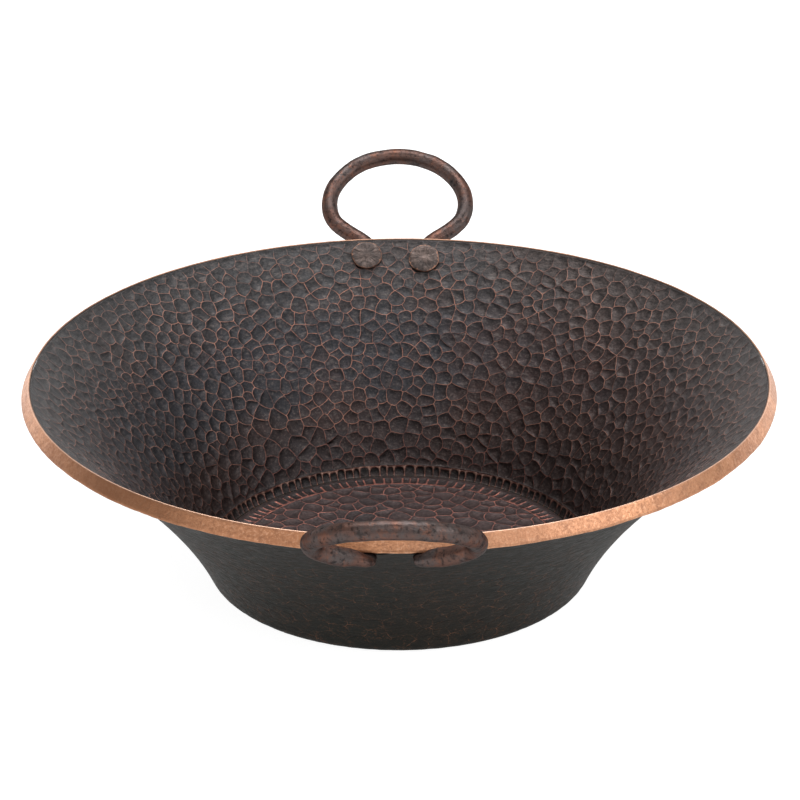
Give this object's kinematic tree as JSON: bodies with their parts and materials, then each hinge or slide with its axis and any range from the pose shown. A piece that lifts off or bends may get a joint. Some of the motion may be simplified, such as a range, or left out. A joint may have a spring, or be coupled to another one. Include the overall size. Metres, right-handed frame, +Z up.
{
  "type": "hammered copper bowl",
  "caption": "Round hammered copper bowl with flaring sides, a flat floor, a bright turned-down rim band and riveted loop handles at the front and back.",
  "frame": {"origin": "centre of the resting face under the bowl", "axes": "+Z up out of the bowl's mouth, +Y from the front handle to the rear handle, +X to the right as seen from the front"},
  "size_m": [0.4082, 0.5228, 0.1521],
  "materials": {
    "wall_patina": "hammered copper under a dark brown-black patina, with worn copper ridges between the dimples",
    "floor_patina": "hammered copper under a dark brown patina, with red-brown ridges",
    "bare_band": "satin bare copper",
    "handle_metal": "mottled dark brown and red-brown oxide",
    "rivet_metal": "hammered copper under a brown patina, copper showing at the edge"
  },
  "bodies": {
    "root": {"side_wall": "wall_patina", "floor_disc": "floor_patina", "rim_band": "bare_band", "rear_handle": "handle_metal", "front_handle": "handle_metal", "rear_left_rivet": "rivet_metal", "rear_right_rivet": "rivet_metal", "front_left_rivet": "rivet_metal", "front_right_rivet": "rivet_metal"}
  },
  "joints": []
}
